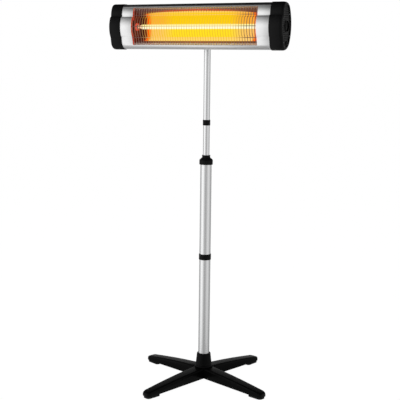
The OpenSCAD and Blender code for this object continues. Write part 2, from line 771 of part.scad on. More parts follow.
module foot_rear_right() foot(0);
module foot_rear_left() foot(1);
module foot_front_left() foot(2);
module foot_front_right() foot(3);

module leg_screws() color(zinc) for (i = [0:3]) rotate(leg_angle(i)) {
    // one screw through the root of each leg into the hub, reached from the hollow underside
    translate([core_w / 2 - 9, 0, screw_z]) rotate([0, 90, 0]) cylinder(d = leg_screw_d, h = 27);
    translate([40.2, 0, screw_z]) rotate([0, 90, 0]) cylinder(d = 8, h = 3);
}

hub();
leg_front_left();
leg_front_right();
leg_rear_left();
leg_rear_right();
foot_front_left();
foot_front_right();
foot_rear_left();
foot_rear_right();
leg_screws();
hub_bolt();
hub_plug();
lower_outer_tube();
pole_coupler();
upper_outer_tube();
tube_top_insert();
lock_collar();
swivel_collet();
mast_guide();
lower_inner_tube();
mast_coupler();
upper_inner_tube();
pole_head();
pole_head_screw();
yoke_bracket();
yoke_spacers();
yoke_screws();
yoke_nuts();
tilt_bolt();
tilt_washers();
star_knob();
front_fascia();
rear_cover();
rear_cover_screws();
heat_shield();
reflector();
reflector_end_left();
reflector_end_right();
lamp_tube();
lamp_element();
lamp_end_ceramics();
lamp_rings();
lamp_clips();
grille_wires();
grille_rails();
window_frame();
end_cap_left();
end_cap_right();
vent_plate_left();
vent_plate_right();
end_seals();
cap_screws();
rotary_switch();
control_knob();
terminal_block();
tip_over_switch();
thermal_cutout();
cable_gland();
lamp_leads();
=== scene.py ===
# %% [markdown]
# # A free-standing infrared heater
# The heater is a long lamp head on a telescopic pole with a four-legged base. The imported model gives
# every part at its real place and size. This script gives each visible part its surface: smoother
# meshes with soft edges where the plain ones show facets, and a finish made of shader nodes.

# %% Load the frame
import json
import math

import bpy
from mathutils import Matrix, Vector

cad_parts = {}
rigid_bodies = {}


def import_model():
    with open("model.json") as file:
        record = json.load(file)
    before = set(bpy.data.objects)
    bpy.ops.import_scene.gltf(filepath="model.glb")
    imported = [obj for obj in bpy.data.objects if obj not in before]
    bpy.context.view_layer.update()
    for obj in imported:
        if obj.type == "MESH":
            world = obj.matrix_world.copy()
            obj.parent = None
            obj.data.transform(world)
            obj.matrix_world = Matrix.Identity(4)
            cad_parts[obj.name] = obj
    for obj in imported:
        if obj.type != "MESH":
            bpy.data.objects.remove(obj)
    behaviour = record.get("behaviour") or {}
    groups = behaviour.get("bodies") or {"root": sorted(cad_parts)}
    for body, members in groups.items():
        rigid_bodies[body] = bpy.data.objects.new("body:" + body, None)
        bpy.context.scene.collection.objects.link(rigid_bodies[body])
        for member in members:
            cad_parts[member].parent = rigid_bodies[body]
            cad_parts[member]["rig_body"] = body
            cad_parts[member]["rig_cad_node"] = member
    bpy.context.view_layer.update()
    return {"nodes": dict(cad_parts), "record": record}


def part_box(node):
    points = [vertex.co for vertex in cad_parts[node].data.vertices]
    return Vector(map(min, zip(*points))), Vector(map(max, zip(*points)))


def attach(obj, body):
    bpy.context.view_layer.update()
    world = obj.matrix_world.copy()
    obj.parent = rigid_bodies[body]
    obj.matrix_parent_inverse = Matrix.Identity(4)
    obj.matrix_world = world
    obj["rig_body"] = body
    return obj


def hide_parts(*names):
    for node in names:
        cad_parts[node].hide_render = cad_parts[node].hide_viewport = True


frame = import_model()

nodes = frame["nodes"]

# %% [markdown]
# ## Small helpers for modelling
# Blender's operators act on whatever is selected, so every step starts by clearing the selection and
# choosing one object. Modifiers are applied straight away, so that the mesh on screen is the object's
# own mesh.

# %% Selection and modifier helpers
def choose(piece):
    """Makes piece the only selected and active object."""
    bpy.ops.object.select_all(action="DESELECT")
    piece.select_set(True)
    bpy.context.view_layer.objects.active = piece


def modify(piece, kind, **settings):
    """Adds a modifier with these settings and applies it."""
    choose(piece)
    modifier = piece.modifiers.new(kind.title(), kind)
    for name, value in settings.items():
        setattr(modifier, name, value)
    bpy.ops.object.modifier_apply(modifier=modifier.name)


def smooth(piece, angle=40):
    """Shades faces smooth wherever they meet at less than angle degrees."""
    choose(piece)
    bpy.ops.object.shade_smooth_by_angle(angle=math.radians(angle))


def in_place(piece):
    """Moves an object's place, turn and size into its mesh."""
    choose(piece)
    bpy.ops.object.transform_apply(location=True, rotation=True, scale=True)


# %% [markdown]
# ## One small class for shader maths
# A finish is easier to read as a formula than as a list of links. This class wraps one socket of a
# node tree: adding or multiplying two of them adds a Math node, and any other node comes from its
# node method.

# %% The shader wire
FIRST_COLOUR, SECOND_COLOUR, MIXED_COLOUR = 6, 7, 2  # sockets of a Mix node that is set to colours
NUMBER = 1  # the output of a Vector Math node that is one number


class Wire:
    """A socket in a node tree, or only the tree when there is no socket yet."""

    def __init__(self, tree, socket=None):
        self.tree = tree
        self.socket = socket

    def node(self, kind, settings=None, inputs=None, output=0):
        """Adds a node: settings first, then values or wires for its inputs, and returns one output."""
        node = self.tree.nodes.new(kind)
        for name, value in (settings or {}).items():
            if name == "stops":
                self._set_stops(node.color_ramp, value)
            else:
                setattr(node, name, value)
        for name, value in (inputs or {}).items():
            feed(self.tree, node.inputs[name], value)
        return Wire(self.tree, node.outputs[output])

    @staticmethod
    def _set_stops(ramp, stops):
        while len(ramp.elements) < len(stops):
            ramp.elements.new(1.0)
        for element, (place, colour) in zip(ramp.elements, stops):
            element.position = place
            element.color = (*colour, 1.0)

    def maths(self, operation, first, second):
        return self.node("ShaderNodeMath", {"operation": operation}, {0: first, 1: second})

    def __add__(self, other):
        return self.maths("ADD", self, other)

    def __radd__(self, other):
        return self.maths("ADD", other, self)

    def __sub__(self, other):
        return self.maths("SUBTRACT", self, other)

    def __rsub__(self, other):
        return self.maths("SUBTRACT", other, self)

    def __mul__(self, other):
        return self.maths("MULTIPLY", self, other)

    def __rmul__(self, other):
        return self.maths("MULTIPLY", other, self)

    def __truediv__(self, other):
        return self.maths("DIVIDE", self, other)

    def power(self, exponent):
        return self.maths("POWER", self, exponent)

    def clamped(self):
        return self.node("ShaderNodeClamp", None, {"Value": self})

    def magnitude(self):
        return self.maths("ABSOLUTE", self, 0.0)

    def swing(self, width):
        """A noise that runs from 0 to 1, made to swing by this width round zero."""
        return (self - 0.5) * width

    def vectors(self, operation, inputs, output=0):
        """A Vector Math node."""
        return self.node("ShaderNodeVectorMath", {"operation": operation}, inputs, output)

    def blend(self, amount, first, second):
        """A colour between first and second."""
        return self.node("ShaderNodeMix", {"data_type": "RGBA"}, {
            "Factor": amount, FIRST_COLOUR: first, SECOND_COLOUR: second}, MIXED_COLOUR)

    def ramp(self, amount, stops):
        """A colour from a list of (place, colour) stops."""
        return self.node("ShaderNodeValToRGB", {"stops": stops}, {"Fac": amount})


def feed(tree, target, value):
    """Gives a shader input a value, or a link when value is a wire."""
    if isinstance(value, Wire):
        tree.links.new(value.socket, target)
    elif isinstance(value, tuple) and len(value) == 3 and target.type == "RGBA":
        target.default_value = (*value, 1.0)
    else:
        target.default_value = value


# %% [markdown]
# ## One class for a finish
# Every finish here is one Principled shader, and what differs is the formula that feeds it. So a finish
# is a wire that has a material and its shader, and knows where on the piece it is. Object coordinates
# are used for that, because they stay with the piece when its joint moves.

# %% The finish
class Finish(Wire):
    """A material with one Principled shader, and the tools to write its formula."""

    def __init__(self, name, **constants):
        self.material = bpy.data.materials.new(name)
        self.material.use_nodes = True
        super().__init__(self.material.node_tree)
        self.shader = self.tree.nodes["Principled BSDF"]
        self.place = self.node("ShaderNodeTexCoord", output="Object")
        self.set(**constants)

    def set(self, **sockets):
        """Sets shader inputs; base_color stands for the input named Base Color, and so on."""
        for name, value in sockets.items():
            label = name.replace("_", " ").title().replace("Ior", "IOR")
            feed(self.tree, self.shader.inputs[label], value)

    def stretched(self, scale):
        """Object coordinates multiplied by scale along each axis."""
        return self.node("ShaderNodeMapping", None, {"Vector": self.place, "Scale": scale})

    def noise(self, scale, detail=2.0, where=None, roughness=0.5):
        """A noise between 0 and 1, scale in repeats per metre."""
        return self.node("ShaderNodeTexNoise", None, {
            "Vector": where or self.place, "Scale": scale, "Detail": detail, "Roughness": roughness})

    def axis(self, name):
        """One Object coordinate as a number, in metres."""
        return self.node("ShaderNodeSeparateXYZ", None, {"Vector": self.place}, name)

    def bump(self, height, depth):
        """Feeds the shader's normal from a height, depth in metres."""
        self.set(normal=self.node("ShaderNodeBump", None, {
            "Height": height, "Distance": depth, "Strength": 1.0}))
        return self


def shade(tone, factor):
    """A colour made darker or lighter, and never brighter than white."""
    return tuple(min(1.0, factor * part) for part in tone)


def report(kind, materials):
    """Prints the names of the finishes that a cell made."""
    print(kind + ":", ", ".join(material.name for material in materials))


# %% [markdown]
# ## Moulded plastic
# The end caps, legs, hub, rings and knobs are moulded with a fine spark-eroded grain. The grain is
# a small bump, because modelling it would need far more faces than the rest of the heater. A broad
# noise varies the tone and the gloss a little, as handling and dust do.

# %% Plastics and rubbers
grain_depth = 0.00004


def moulded_plastic(name, tone, gloss, grain_scale=2600, shine=0.25):
    """Plastic or rubber with a moulded grain; gloss is its roughness, shine its specular level."""
    finish = Finish(name, ior=1.49, specular_ior_level=shine)
    broad = finish.noise(9, detail=3)
    fine = finish.noise(grain_scale, detail=1)
    dust = finish.noise(60, detail=4).swing(0.8) + broad
    finish.set(base_color=finish.blend(dust.clamped(), shade(tone, 0.8), shade(tone, 1.35)))
    finish.set(roughness=gloss + broad.swing(0.16) + fine.swing(0.1))
    return finish.bump(fine, grain_depth).material


cap_plastic = moulded_plastic("cap plastic", (0.0025, 0.0025, 0.0027), 0.33, shine=0.13)
base_plastic = moulded_plastic("base plastic", (0.002, 0.002, 0.0021), 0.36, shine=0.09)
knob_plastic = moulded_plastic("knob plastic", (0.004, 0.004, 0.004), 0.48)
nylon = moulded_plastic("nylon", (0.03, 0.03, 0.032), 0.45)
foot_rubber = moulded_plastic("foot rubber", (0.012, 0.012, 0.012), 0.75, grain_scale=1800)
lead_sleeve = moulded_plastic("silicone sleeve", (0.4, 0.06, 0.04), 0.6)
seal_rubber = moulded_plastic("seal rubber", (0.05, 0.05, 0.055), 0.7)
report("plastics and rubbers", [cap_plastic, base_plastic, knob_plastic, nylon, foot_rubber,
                                lead_sleeve, seal_rubber])

# %% [markdown]
# ## Metal finishes
# Brushing leaves fine scratches in one direction. A noise that is stretched along that direction
# gives them, and it drives the tone, the roughness and a very small bump. The front panel is brushed
# along its length, the tubes are turned and polished round their axis, and zinc plate has no direction.

# %% Metals
def brushed_metal(name, tone, gloss, stretch, contrast=0.1, depth=0.000012, spread=0.08):
    """Bare metal; stretch is the noise's repeats per metre along each axis, spread its range of tone."""
    finish = Finish(name, metallic=1.0)
    lines = finish.noise(1.0, detail=4, where=finish.stretched(stretch), roughness=0.65)
    cloud = finish.noise(5, detail=2)
    finish.set(base_color=finish.blend(lines, shade(tone, 1 - spread), shade(tone, 1 + 0.7 * spread)))
    finish.set(roughness=gloss + lines.swing(contrast) + cloud.swing(0.06))
    return finish.bump(lines, depth).material


panel_metal = brushed_metal("satin panel", (0.9, 0.9, 0.9), 0.3, (6, 1400, 1400))
tube_metal = brushed_metal("satin tube", (0.96, 0.965, 0.97), 0.27, (20, 20, 700),
                           contrast=0.03, depth=0.0000015, spread=0.02)
zinc = brushed_metal("zinc plate", (0.62, 0.63, 0.65), 0.38, (300, 300, 300), contrast=0.2)
shield_metal = brushed_metal("mill finish sheet", (0.7, 0.71, 0.72), 0.45, (8, 600, 600))
report("metals", [panel_metal, tube_metal, zinc, shield_metal])

# %% [markdown]
# ## Powder coat
# Painted steel parts are dusted with a plastic powder that melts to a skin in the oven. The skin has
# low soft lumps, like the peel of an orange, and those are a noise of about a millimetre as a bump.

# %% Black powder coat
peel_depth = 0.00006


def painted_metal(name, tone, gloss):
    """Powder coat: a fine orange-peel bump over a dark paint."""
    finish = Finish(name, ior=1.5, specular_ior_level=0.5)
    peel = finish.noise(900, detail=2)
    broad = finish.noise(12, detail=3)
    finish.set(base_color=finish.blend(broad, shade(tone, 0.85), shade(tone, 1.3)))
    finish.set(roughness=gloss + broad.swing(0.12) + peel.swing(0.08))
    return finish.bump(peel, peel_depth).material


black_paint = painted_metal("black powder coat", (0.011, 0.011, 0.012), 0.34)
report("paint", [black_paint])

# %% [markdown]
# ## The hot parts
# The lamp is the light of this object. The parts round it are shown as they look with the lamp on. The
# truer way is a polished trough that reflects the lamp by itself. Here the glow is painted, because a
# painted colour is easier to steer: it is an emission colour that follows the Object coordinates. It
# is the same on the left and on the right, so it doesn't depend on the side it is seen from.
#
# Everything below is measured in millimetres from the middle of the lamp, along the head and upwards.

# %% Measures of the window and the lamp
MM = 1000  # millimetres in a metre

half_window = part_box("grille_wires")[1].x
lamp_low, lamp_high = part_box("lamp_tube")
lamp_y = (lamp_low.y + lamp_high.y) / 2
lamp_z = (lamp_low.z + lamp_high.z) / 2
lamp_radius = (lamp_high.z - lamp_low.z) / 2
element_low, element_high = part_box("lamp_element")
half_element = (element_high.x - element_low.x) / 2 * MM
print("half the lit length of the lamp:", round(half_element, 1), "mm, its radius:",
      round(lamp_radius * MM, 2), "mm")
for part_name in ("reflector", "window_frame"):
    heights = [round((corner.z - lamp_z) * MM, 1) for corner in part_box(part_name)]
    print(part_name, "reaches from", heights[0], "to", heights[1], "mm over the middle of the lamp")


def along_head(finish):
    """Distance from the middle of the head, less than 0 on the left."""
    return finish.axis("X") * MM


def over_lamp(finish):
    """Height over the middle of the lamp."""
    return (finish.axis("Z") - lamp_z) * MM


# %% [markdown]
# ## Zones with soft borders
# A zone of a piece is a number that is 1 inside it and 0 outside. It comes from a Map Range node with
# a smooth step, because a hard border would look cut out.

# %% Above, below and between
def above(finish, amount, edge, soft):
    """1 where amount is over the edge, changing from soft below it to soft above it."""
    return finish.node("ShaderNodeMapRange", {"interpolation_type": "SMOOTHSTEP"}, {
        "Value": amount, "From Min": edge - soft, "From Max": edge + soft})


def below(finish, amount, edge, soft):
    """1 where amount is under the edge."""
    return 1.0 - above(finish, amount, edge, soft)


def band(finish, amount, low, high, soft):
    """1 between low and high."""
    return above(finish, amount, low, soft) * below(finish, amount, high, soft)


# %% [markdown]
# ## Painted glow along the trough
# The trough behind the lamp is bent from thin bright sheet. Its colours are the lamp's light and
# reflections, painted as emission: yellow in the middle of its length, orange towards both ends, and
# dark past the lit length of the lamp. Those colours are ramps over the distance from the middle, so
# that both ends are alike, and each height has its own ramp.

# %% Ramps from the middle to both ends
trough_reach = 222
bright_reach = 182
# The painted glow fades to dark at both ends, past the lit length of the lamp.
dim_glow_end = [(190, (1.0, 0.16, 0.0)), (197, (1.0, 0.1, 0.0)), (201, (0.2, 0.013, 0.006)),
            (210, (0.09, 0.008, 0.005)), (trough_reach, (0.008, 0.004, 0.003))]
under_lamp = [(0, (1.0, 0.75, 0.012)), (100, (1.0, 0.73, 0.015)), (145, (0.98, 0.58, 0.12)),
              (bright_reach, (0.98, 0.54, 0.12))] + dim_glow_end
upper_half = [(0, (0.97, 0.62, 0.001)), (100, (0.97, 0.6, 0.001)), (140, (0.95, 0.44, 0.03)),
              (bright_reach, (0.95, 0.4, 0.04))] + dim_glow_end
# The red line is a painted reflection. The brown top and the maroon foot are dimmer painted lamp light.
red_line = [(0, (0.66, 0.04, 0.01)), (110, (0.5, 0.04, 0.015)), (150, (0.2, 0.05, 0.035)),
            (trough_reach, (0.06, 0.025, 0.02))]
brown_top = [(0, (0.4, 0.16, 0.1)), (100, (0.18, 0.07, 0.05)), (trough_reach, (0.07, 0.03, 0.025))]
maroon_foot = [(0, (0.26, 0.055, 0.035)), (trough_reach, (0.05, 0.02, 0.018))]


def lengthwise(finish, along, stops):
    """A colour ramp from the middle of the head to both ends, its stops in millimetres."""
    return finish.ramp(along.magnitude() / trough_reach, [(x / trough_reach, colour) for x, colour in stops])


print("the trough's bright part ends", bright_reach, "mm from the middle, its glow", trough_reach, "mm")

# %% [markdown]
# ## The lit trough
# From the bottom up there are a dark flange, a maroon foot, a pale rim, the two halves of the trough,
# another pale rim, a red line that bends down towards both ends, a brown top and a second flange. All
# but the flanges are painted lamp light: the pale rims are painted highlights and the red line is a
# painted reflection. The halves come first, and the others are blended over them. The flanges hardly
# glow: they are left to the room's light.

# %% The trough's finish
foot_edge, lower_rim_edge, upper_rim_edge = -45.0, -34, 44
lower_flange_edge, upper_flange_edge = -52.4, 57.0
red_line_middle, red_line_bend, red_line_depth = 50.0, 0.0052, 4.4
# The colour of the painted highlight along both rims of the trough.
rim_highlight_colour = (0.97, 0.62, 0.19)
dark_flange = (0.02, 0.008, 0.006)


def red_line_height(along, ripple):
    """Height of the red line, a painted reflection, which is lower towards both ends."""
    outwards = (along * red_line_bend).magnitude()
    return red_line_middle - 4.0 * outwards.power(4) - 3.0 * outwards + ripple * 0.4


def trough_glow(finish, along, height):
    """The painted glow of the lit sheet, without its flanges."""
    ripple = finish.noise(60, detail=2).swing(2.0)
    halves = finish.blend(above(finish, height, 0, 2.0), lengthwise(finish, along, under_lamp),
                          lengthwise(finish, along, upper_half))
    wavy = height + ripple * 0.5
    # Painted highlights along the trough's upper and lower edges.
    rims = above(finish, wavy, upper_rim_edge, 2.5) + below(finish, wavy, lower_rim_edge, 2.5)
    lit_length = band(finish, along, -bright_reach, bright_reach, 5)
    glow = finish.blend(0.75 * lit_length * rims, halves, rim_highlight_colour)
    over_line = height - red_line_height(along, ripple)
    glow = finish.blend(above(finish, over_line, 0, 0.8), glow, lengthwise(finish, along, red_line))
    brown = above(finish, over_line, red_line_depth, 0.8)
    glow = finish.blend(brown, glow, lengthwise(finish, along, brown_top))
    return finish.blend(below(finish, height, foot_edge, 1.2), glow, lengthwise(finish, along, maroon_foot))


def lit_trough(name):
    """Bright sheet with the lamp's light and reflections painted on as emission, and bare metal flanges."""
    finish = Finish(name, metallic=0.3, roughness=0.4, specular_ior_level=0.1, emission_strength=1.0)
    along, height = along_head(finish), over_lamp(finish)
    flanges = above(finish, height, upper_flange_edge, 1.0) + below(finish, height, lower_flange_edge, 0.8)
    glow = trough_glow(finish, along, height)
    finish.set(emission_color=finish.blend(flanges, glow, dark_flange))
    dark_gold = finish.blend(finish.noise(30), (0.02, 0.012, 0.004), (0.03, 0.02, 0.008))
    finish.set(base_color=finish.blend(flanges, dark_gold, (0.6, 0.56, 0.53)))
    return finish.material


reflector_painted_glow = lit_trough("lit reflector")
report("trough", [reflector_painted_glow])

# %% [markdown]
# ## The plated wires
# The grille is plated steel wire. In front of the lit length of the lamp its wires get a painted amber
# glow, with a painted highlight at the height of the lamp itself. The lit zone comes from the box of the
# lamp's element, so that it stays right if the lamp gets longer. At the height of the trough the
# plating is browner.

# %% Finish of the wires and rails
wire_fade = 32
wire_lit_length = half_element - 1.3 * wire_fade
wire_lit_height = 46
tinted_height = 51
streak_depth = 0.00001


def plated_wire(name, amber_dim, amber_bright):
    """Plated wire with the lamp's light painted on as emission."""
    finish = Finish(name, metallic=0.8, roughness=0.38, emission_strength=1.0)
    streak = finish.noise(1.0, detail=3, where=finish.stretched((40, 900, 900)))
    along, height = along_head(finish), over_lamp(finish)
    lamplight = (band(finish, along, -wire_lit_length, wire_lit_length, wire_fade)
                 * band(finish, height, -wire_lit_height, wire_lit_height, 3))
    # The palest band, at the height of the lamp, is a painted highlight.
    lamp_height_highlight = lamplight * band(finish, height, -lamp_radius * MM, lamp_radius * MM, 2)
    amber = finish.blend(streak, amber_dim, amber_bright)
    lit = finish.blend(lamp_height_highlight, amber, (0.72, 0.54, 0.24))
    # Outside the lit zone the wires keep a faint painted red glow.
    finish.set(emission_color=finish.blend(lamplight, (0.03, 0.012, 0.01), lit))
    plate = finish.blend(streak, (0.38, 0.3, 0.28), (0.54, 0.44, 0.41))
    # The plating is darker and browner at the height of the trough.
    trough_height_brown = finish.blend(streak, (0.2, 0.11, 0.09), (0.31, 0.18, 0.15))
    plate = finish.blend(band(finish, height, -tinted_height, tinted_height, 2), plate, trough_height_brown)
    finish.set(base_color=finish.blend(lamplight, plate, (0.12, 0.08, 0.03)))
    return finish.bump(streak, streak_depth).material


wire_metal = plated_wire("plated wire", (0.7, 0.41, 0.003), (0.86, 0.53, 0.006))
rail_metal = plated_wire("plated rail", (0.85, 0.5, 0.12), (0.95, 0.58, 0.2))
report("wires", [wire_metal, rail_metal])
print("the wires are half lit", round(wire_lit_length, 1), "mm from the middle")

# %% [markdown]
# ## Parts beside the lamp
# The trough's end plates, the ceramic rings and lamp ends and the carbon element glow in one colour
# each. The carbon's glow is the lamp's own; on the end plates, rings and lamp ends it is painted red
# light. A noise makes the colour uneven, as dust and scale on hot parts do.

# %% Red-lit finishes
def red_lit(name, tone, glow, strength):
    """Metal, ceramic or carbon beside the lamp, which glows with this colour and strength; on all but the
    carbon the glow is painted light.
    """
    finish = Finish(name, roughness=0.5, metallic=0.4, emission_strength=strength)
    patch = finish.noise(90, detail=3)
    finish.set(base_color=finish.blend(patch, shade(tone, 0.8), tone))
    finish.set(emission_color=finish.blend(patch, shade(glow, 0.6), glow))
    return finish.material


# Painted red light on the end plates, the rings and the steatite lamp ends. The carbon is the lamp's own
# glow.
end_metal = red_lit("lit end plate", (0.1, 0.03, 0.02), (0.1, 0.008, 0.005), 0.6)
ring_ceramic = red_lit("lit ceramic ring", (0.4, 0.12, 0.09), (0.95, 0.1, 0.05), 0.75)
element = red_lit("hot carbon", (1.0, 0.9, 0.6), (1.0, 0.85, 0.5), 6.0)
ceramic = red_lit("steatite", (0.8, 0.74, 0.66), (0.2, 0.05, 0.02), 0.2)
report("parts beside the lamp", [end_metal, ring_ceramic, element, ceramic])

# %% [markdown]
# ## The window's frame
# The frame round the window is painted sheet. Its two side jambs have painted red light, an emission.
# Its top hem is bare metal: it isn't painted bright, but left to reflect the room, so that it changes
# with the view.

# %% Frame finish
jamb_edge = 214
hem_edge = 52


def lit_frame(name):
    """Dark paint with painted red light on both jambs and a bare hem along the top."""
    finish = Finish(name, roughness=0.45, specular_ior_level=0.2, emission_strength=1.0)
    patch = finish.noise(90, detail=3)
    # Painted red light for the jambs.
    red = finish.blend(patch, (0.36, 0.015, 0.006), (0.52, 0.025, 0.009))
    between_jambs = band(finish, along_head(finish), -jamb_edge, jamb_edge, 2)
    finish.set(emission_color=finish.blend(between_jambs, red, (0.004, 0.002, 0.002)))
    hem = above(finish, over_lamp(finish), hem_edge, 2)
    paint = finish.blend(patch, (0.02, 0.008, 0.006), (0.03, 0.012, 0.009))
    finish.set(base_color=finish.blend(hem, paint, (0.85, 0.83, 0.8)), metallic=hem)
    return finish.material


frame_paint = lit_frame("lit frame paint")
report("frame", [frame_paint])

# %% [markdown]
# ## The quartz tube
# The glass is too bright to look clear, so it needs no transparency: it is nearly white below and
# yellow above, and turns pink where its two ends taper.

# %% Quartz finish
colour_reach = 8.0  # a little more than the glass's radius, so that the edge colours stay narrow
taper_start, taper_end = 0.9, 0.96  # parts of the way from the middle to the end of the window


def quartz_glow(name):
    """Quartz tube full of light."""
    finish = Finish(name, roughness=0.2, ior=1.46, specular_ior_level=0.2, emission_strength=1.0)
    outwards = finish.axis("X").magnitude() / half_window
    rise = (over_lamp(finish) + colour_reach) / (2 * colour_reach)
    round_it = finish.ramp(rise.clamped(), [(0.0, (1.0, 0.95, 0.6)), (0.4, (1.0, 1.0, 0.72)),
                                            (0.62, (1.0, 0.97, 0.44)), (1.0, (1.0, 0.84, 0.26))])
    ends = finish.ramp(outwards, [(taper_start, (0.0, 0.0, 0.0)), (taper_end, (1.0, 1.0, 1.0))])
    cloud = finish.noise(70, detail=2)
    whole = finish.blend(ends, round_it, (0.95, 0.5, 0.32))
    finish.set(emission_color=finish.blend(cloud * 0.12, whole, (1.0, 0.8, 0.35)))
    finish.set(base_color=finish.blend(cloud, (0.05, 0.045, 0.03), (0.08, 0.07, 0.05)))
    return finish.material


quartz = quartz_glow("hot quartz")
report("glass", [quartz])

# %% [markdown]
# ## Finishes on the parts of the frame
# Each part takes the finish of its real material, and the slots named in the record tell which that
# is. A few parts share a slot with others that look different, so they have a finish of their own.

# %% Which finish goes where
corners = ("front_left", "front_right", "rear_left", "rear_right")
slot_finish = {
    "black_plastic": cap_plastic,
    "foot_rubber": foot_rubber,
    "satin_aluminium": panel_metal,
    "brushed_tube": tube_metal,
    "black_paint": black_paint,
    "reflector_gold": reflector_painted_glow,
    "heat_shield_metal": shield_metal,
    "zinc": zinc,
    "grille_chrome": wire_metal,
    "quartz": quartz,
    "element_glow": element,
    "ceramic_white": ceramic,
    "ring_ceramic": ring_ceramic,
    "seal_grey": seal_rubber,
    "guide_nylon": nylon,
    "switch_plastic": nylon,
    "knob_black": knob_plastic,
    "wire_insulation": lead_sleeve,
}
own_finish = {
    "hub": base_plastic,
    "window_frame": frame_paint,
    "grille_rails": rail_metal,
    "reflector_end_left": end_metal,
    "reflector_end_right": end_metal,
}
for corner in corners:
    own_finish["leg_" + corner] = base_plastic
print(len(slot_finish), "slots,", len(own_finish), "parts with a finish of their own")

# %% Give every part of the frame its finish
record = frame["record"]
part_slot = {part["node"]: part["material_slot"] for part in record["subparts"]}
node_body = {name: body for body, names in record["behaviour"]["bodies"].items() for name in names}


def set_finish(piece, material):
    """Makes material the piece's only material."""
    piece.data.materials.clear()
    piece.data.materials.append(material)


for name, part in nodes.items():
    set_finish(part, own_finish.get(name, slot_finish[part_slot[name]]))
print("finishes set on", len(nodes), "parts")

# %% [markdown]
# ## Parts with softened edges
# A part of the frame is made of loose triangles with sharp edges, and real mouldings and pressings
# never have those. A copy of the part has its doubled corners merged and its flat faces joined, then
# a narrow bevel catches the light along each edge. The copy stands for the part.

# %% Copy, merge, bevel
weld_distance = 0.00002
flat_angle = math.radians(0.4)


def stand_for(piece, node_name):
    """Makes piece the visible stand-in of a part of the frame."""
    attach(piece, node_body[node_name])
    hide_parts(node_name)


def bevelled(piece, width, angle):
    """Rounds every edge that turns by more than angle degrees."""
    modify(piece, "BEVEL", width=width, segments=2, limit_method="ANGLE", angle_limit=math.radians(angle))


def softened(node_name, edge):
    """A merged and bevelled copy of a part; edge is the bevel's width in metres."""
    choose(nodes[node_name])
    bpy.ops.object.duplicate()
    piece = bpy.context.object
    piece.name = node_name + "_finished"
    piece.parent = None
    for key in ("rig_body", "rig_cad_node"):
        if key in piece:
            del piece[key]
    bpy.ops.object.mode_set(mode="EDIT")
    bpy.ops.mesh.select_all(action="SELECT")
    bpy.ops.mesh.remove_doubles(threshold=weld_distance)
    bpy.ops.mesh.dissolve_limited(angle_limit=flat_angle)
    bpy.ops.object.mode_set(mode="OBJECT")
    if edge:
        bevelled(piece, edge, 30)
    smooth(piece)
    stand_for(piece, node_name)
    return piece


# %% [markdown]
# ## The lamp
# A quartz heating tube is a plain glass tube whose two ends are heated and squeezed flat round the
# leads. A cylinder is laid along the head, and at each end its cap is drawn out in four short steps:
# three that narrow it to a shoulder and the last one straight, for the flat pinch. A plain cylinder
# would be simpler, and would look cut off.

# %% Draw out an end
def drawn_end(piece, towards, centre, steps):
    """Extrudes one end cap outwards in steps of (length, height scale, depth scale)."""
    choose(piece)
    bpy.ops.object.mode_set(mode="EDIT")
    bpy.ops.mesh.select_mode(type="FACE")
    bpy.ops.mesh.select_all(action="DESELECT")
    bpy.ops.object.mode_set(mode="OBJECT")
    for face in piece.data.polygons:
        face.select = face.normal.x * towards > 0.99
    bpy.ops.object.mode_set(mode="EDIT")
    for length, tall, deep in steps:
        bpy.ops.mesh.extrude_region_move(TRANSFORM_OT_translate={"value": (towards * length, 0, 0)})
        bpy.ops.transform.resize(value=(1, deep, tall), center_override=centre)
    bpy.ops.object.mode_set(mode="OBJECT")


# %% Model the quartz tube
pinch_steps = [(0.003, 0.86, 0.9), (0.003, 0.6, 0.9), (0.002, 0.75, 1.0), (0.004, 1.0, 1.0)]
pinch = sum(length for length, _, _ in pinch_steps)
tube_length = lamp_high.x - lamp_low.x - 2 * pinch
lamp_centre = ((lamp_low.x + lamp_high.x) / 2, lamp_y, lamp_z)
bpy.ops.object.select_all(action="DESELECT")
bpy.ops.mesh.primitive_cylinder_add(vertices=40, radius=lamp_radius, depth=tube_length,
                                    location=lamp_centre, rotation=(0, math.pi / 2, 0))
lamp = bpy.context.object
lamp.name = "lamp_tube_glass"
in_place(lamp)
for towards in (1, -1):
    drawn_end(lamp, towards, lamp_centre, pinch_steps)
bevelled(lamp, 0.0004, 40)
smooth(lamp)
set_finish(lamp, quartz)
stand_for(lamp, "lamp_tube")
print("lamp:", round(lamp.dimensions.x, 3), "m long,", len(lamp.data.polygons), "faces")

# %% [markdown]
# ## Edges of the other parts
# The width of each bevel follows the real edge: up to a millimetre and a half on the mouldings, a few
# tenths on pressed sheet and wire, none on drawn tube and on the trough, which only need their long
# facets joined and shaded smooth.

# %% Soften the edges
soft_edges = {
    "front_fascia": 0.0004, "rear_cover": 0.0003, "end_cap_left": 0.0005, "end_cap_right": 0.0005,
    "lower_outer_tube": 0.0, "upper_outer_tube": 0.0, "lower_inner_tube": 0.0, "upper_inner_tube": 0.0,
    "hub": 0.0012, "lock_collar": 0.0004, "pole_coupler": 0.0, "mast_coupler": 0.0,
    **{"leg_" + corner: 0.0015 for corner in corners},
    **{"foot_" + corner: 0.0008 for corner in corners},
    "grille_wires": 0.00035, "grille_rails": 0.0004, "lamp_rings": 0.0005, "window_frame": 0.0004,
    "reflector": 0.0, "star_knob": 0.0012, "control_knob": 0.0008, "yoke_bracket": 0.0006,
    "pole_head": 0.0008, "cable_gland": 0.0004,
}
for node_name, edge in soft_edges.items():
    finished = softened(node_name, edge)
    print(finished.name, len(finished.data.polygons), "faces")

